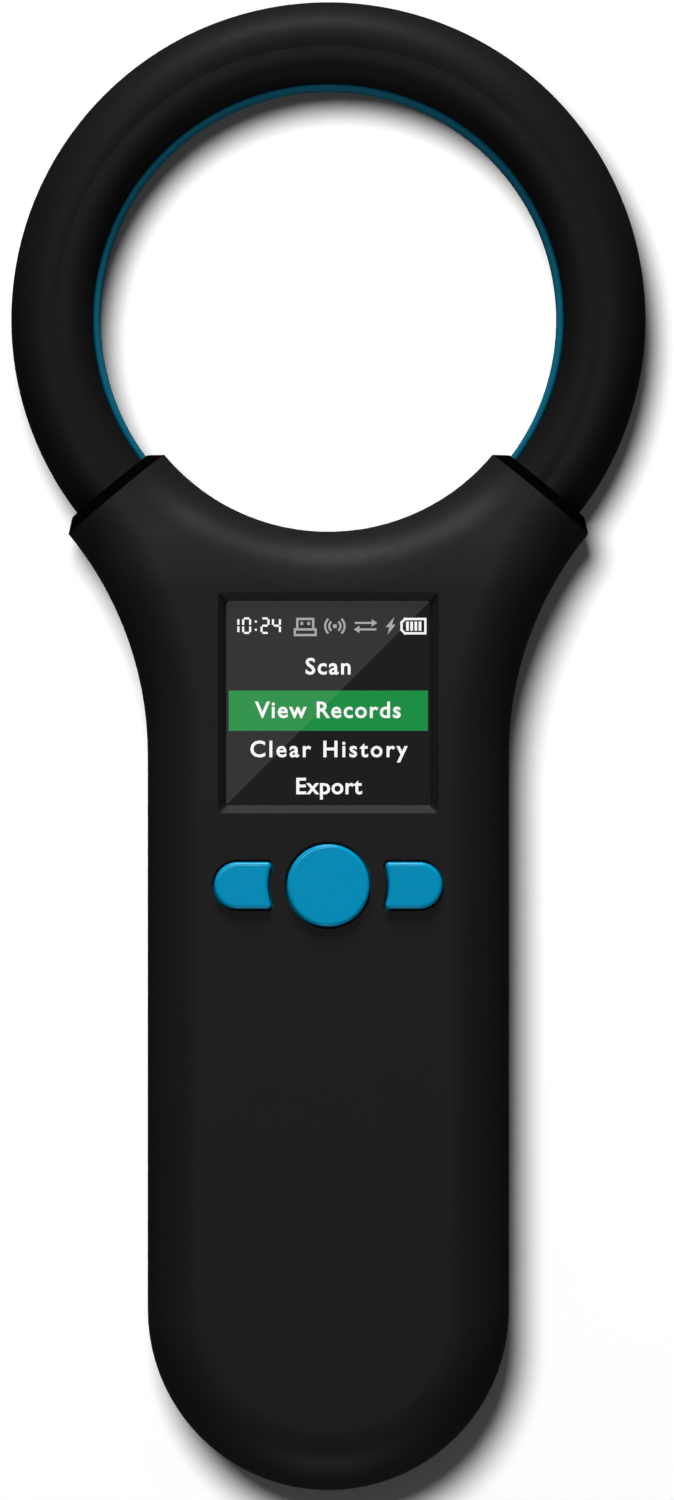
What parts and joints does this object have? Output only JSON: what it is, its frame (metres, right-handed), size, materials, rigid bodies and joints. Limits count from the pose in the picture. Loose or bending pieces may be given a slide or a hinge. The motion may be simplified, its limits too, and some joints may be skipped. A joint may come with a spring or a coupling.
{
  "type": "animal microchip scanner",
  "caption": "Hand-held animal microchip scanner: an open antenna ring on a slim rounded handle with a square display and push keys.",
  "frame": {"origin": "on the surface the scanner lies on, under the middle of its outline", "axes": "+Z out of the front face with the display, +Y along the handle towards the ring, +X to the right seen from the front"},
  "size_m": [0.0862, 0.202, 0.027],
  "materials": {
    "body_plastic": "fine even texture, soft sheen, black",
    "ring_plastic": "smooth satin black",
    "seal_rubber": "soft matt black",
    "band_blue": "satin blue-green",
    "key_blue": "satin blue",
    "window_clear": "clear cover over a dark display, glossy",
    "panel_dark": "dark display glass",
    "black_foam": "soft foam",
    "former_plastic": "moulded black",
    "copper_wire": "enamelled copper wire",
    "wire_skin": "wire insulation",
    "ribbon_film": "amber film",
    "key_rubber": "silicone",
    "carbon_pill": "carbon filled rubber",
    "gold_pads": "gilt contacts",
    "board_green": "green circuit board",
    "chip_black": "moulded chips",
    "passive_tan": "ceramic parts",
    "plug_white": "natural nylon",
    "cell_foil": "foil pouch",
    "bright_steel": "plated steel"
  },
  "bodies": {
    "reader_body": {"front_shell": "body_plastic", "back_shell": "body_plastic", "ring_front_shell": "ring_plastic", "ring_back_shell": "ring_plastic", "ring_inner_band": "band_blue", "collar_seals": "seal_rubber", "coil_former": "former_plastic", "antenna_coil": "copper_wire", "coil_leads": "wire_skin", "display_window": "window_clear", "display_gasket": "black_foam", "display_panel": "panel_dark", "display_carrier": "former_plastic", "display_ribbon": "ribbon_film", "display_connector": "former_plastic", "select_dome": "key_rubber", "left_dome": "key_rubber", "right_dome": "key_rubber", "key_mat": "key_rubber", "key_contact_pads": "gold_pads", "main_board": "board_green", "processor_chip": "chip_black", "memory_chip": "chip_black", "reader_chip": "chip_black", "crystal_can": "bright_steel", "radio_module": "board_green", "radio_shield": "bright_steel", "board_passives": "passive_tan", "antenna_plug": "plug_white", "battery_plug": "plug_white", "harness_plug": "plug_white", "battery_cell": "cell_foil", "battery_pad": "black_foam", "battery_leads": "wire_skin", "speaker_frame": "former_plastic", "speaker_cone": "ribbon_film", "speaker_leads": "wire_skin", "usb_board": "board_green", "usb_socket": "bright_steel", "usb_tongue": "former_plastic", "usb_harness": "ribbon_film", "case_screws": "bright_steel", "board_screws": "bright_steel", "usb_board_screws": "bright_steel"},
    "select_button": {"select_key": "key_blue", "select_plunger": "key_rubber", "select_pill": "carbon_pill"},
    "left_button": {"left_key": "key_blue", "left_plunger": "key_rubber", "left_pill": "carbon_pill"},
    "right_button": {"right_key": "key_blue", "right_plunger": "key_rubber", "right_pill": "carbon_pill"}
  },
  "joints": [
    {"name": "select_key_press", "type": "slide", "parent": "reader_body", "child": "select_button", "axis": [0, 0, -1], "range_m": [0, 0.0008], "stiffness_N_per_m": 1500, "deforming": ["select_dome"]},
    {"name": "left_key_press", "type": "slide", "parent": "reader_body", "child": "left_button", "axis": [0, 0, -1], "range_m": [0, 0.0008], "stiffness_N_per_m": 1500, "deforming": ["left_dome"]},
    {"name": "right_key_press", "type": "slide", "parent": "reader_body", "child": "right_button", "axis": [0, 0, -1], "range_m": [0, 0.0008], "stiffness_N_per_m": 1500, "deforming": ["right_dome"]}
  ]
}
